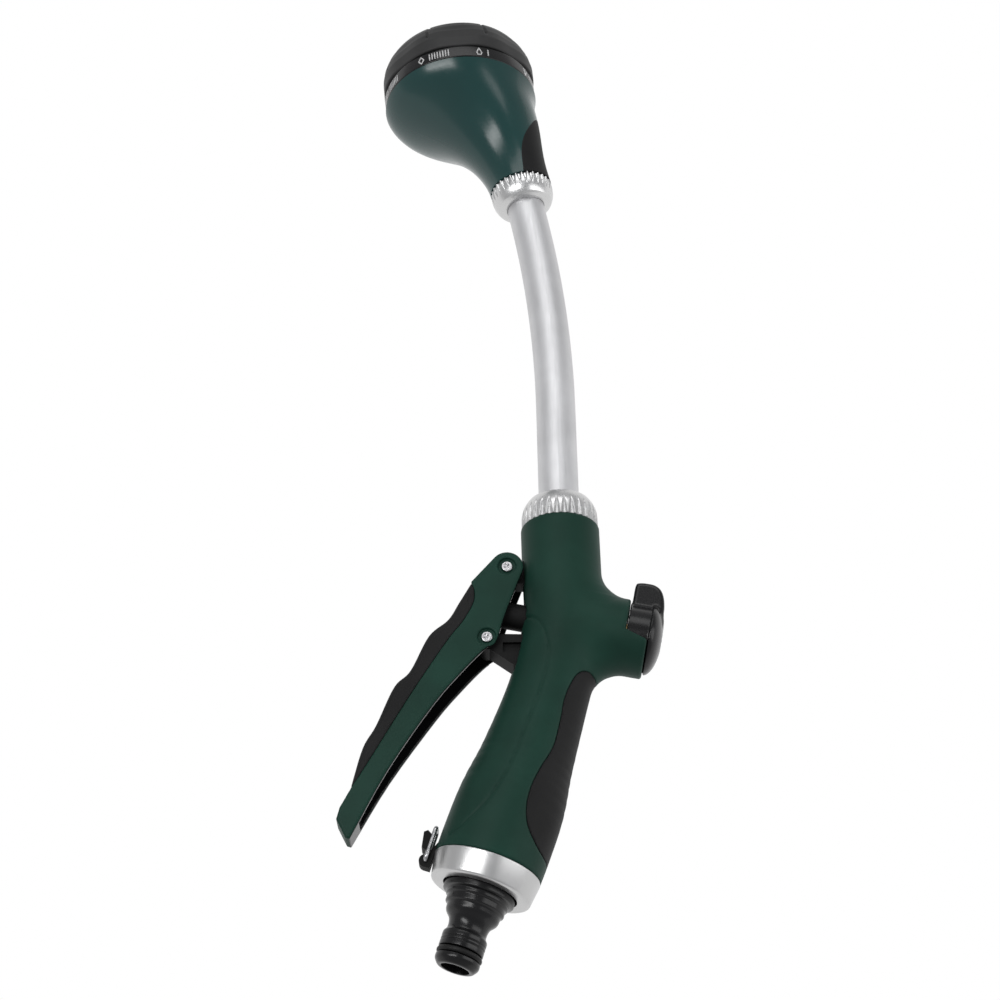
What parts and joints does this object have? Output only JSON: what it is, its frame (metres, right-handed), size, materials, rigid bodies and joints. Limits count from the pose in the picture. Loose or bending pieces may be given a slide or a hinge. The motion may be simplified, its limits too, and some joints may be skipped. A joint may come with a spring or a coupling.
{
  "type": "watering wand",
  "caption": "Bent watering wand: trigger handle with flow knob, quick-connect inlet, aluminium tube and flared multi-pattern spray head with a turning dial.",
  "frame": {"origin": "centre of the inlet nipple's open end", "axes": "the wand lies on its side: +Y along the wand towards the spray head, +X towards the flow knob and away from the trigger, +Z square to the plane of symmetry"},
  "size_m": [0.1239, 0.4164, 0.0684],
  "materials": {
    "soft_green": "soft-touch moulded, fine matte",
    "gloss_green": "polished moulded",
    "rubber_black": "matte overmoulded",
    "black_plastic": "semi-gloss moulded",
    "black_matte": "moulded",
    "aluminium_satin": "satin anodised",
    "nut_metal": "polished fluted",
    "collar_metal": "turned and brushed",
    "steel": "bright",
    "seal_rubber": "moulded seal",
    "brass": "turned"
  },
  "bodies": {
    "frame": {"handle_shell": "soft_green", "grip_inlay": "rubber_black", "valve_body": "black_matte", "stem_gland": "brass", "stem_o_ring": "seal_rubber", "valve_spring": "steel", "trigger_pivot_pin": "steel", "spindle_o_ring": "seal_rubber", "spindle_nut": "black_plastic", "inlet_nipple": "black_plastic", "nipple_o_ring": "seal_rubber", "inlet_washer": "seal_rubber", "inlet_collar": "collar_metal", "lance_tube": "aluminium_satin", "lower_nut": "nut_metal", "lower_o_ring": "seal_rubber", "upper_nut": "nut_metal", "upper_o_ring": "seal_rubber", "head_shell": "gloss_green", "head_inlay": "rubber_black", "head_core": "black_matte", "port_seal": "seal_rubber", "detent_ball": "steel", "detent_spring": "steel", "dial_screw": "steel", "dial_seal": "seal_rubber", "lock_lug": "black_matte"},
    "trigger": {"trigger_lever": "soft_green", "trigger_pad": "rubber_black", "link_pin": "steel"},
    "link": {"link_arm": "black_matte"},
    "plunger": {"plunger_cap": "black_matte", "valve_stem": "brass", "valve_disc": "seal_rubber"},
    "flow_control": {"flow_knob": "black_plastic", "flow_spindle": "brass", "knob_screw": "steel"},
    "dial": {"dial_ring": "black_plastic", "dial_grip": "rubber_black", "spray_face": "black_matte", "distributor_plate": "black_matte"},
    "lock": {"lock_bail": "steel", "lock_tab": "black_matte"}
  },
  "joints": [
    {"name": "trigger_squeeze", "type": "hinge", "parent": "frame", "child": "trigger", "pos_m": [0.02097, 0.15395, 0], "axis": [0, 0, 1], "range_deg": [0, 11], "stiffness_Nm_per_rad": 1.2, "springref_deg": -14.32},
    {"name": "link_swing", "type": "hinge", "parent": "trigger", "child": "link", "pos_m": [0.01286, 0.12425, 0], "axis": [0, 0, 1], "range_deg": [-11, 0]},
    {"name": "plunger_slide", "type": "slide", "parent": "frame", "child": "plunger", "axis": [0.9781, -0.2079, 0], "range_m": [0, 0.00387], "deforming": ["valve_spring"]},
    {"name": "flow_turn", "type": "hinge", "parent": "frame", "child": "flow_control", "pos_m": [0.04217, 0.13265, 0], "axis": [0.9781, -0.2079, 0], "range_deg": [-50, 50]},
    {"name": "dial_turn", "type": "hinge", "parent": "frame", "child": "dial", "pos_m": [0.00453, 0.38869, 0], "axis": [-0.0837, 0.9965, 0], "continuous": true},
    {"name": "lock_swing", "type": "hinge", "parent": "frame", "child": "lock", "pos_m": [-0.01039, 0.03915, 0], "axis": [0, 0, 1], "range_deg": [0, 24]}
  ],
  "couplings": [
    {"joint": "link_swing", "follows": "trigger_squeeze", "ratio": -1},
    {"joint": "plunger_slide", "follows": "trigger_squeeze", "m_per_rad": 0.020166}
  ]
}
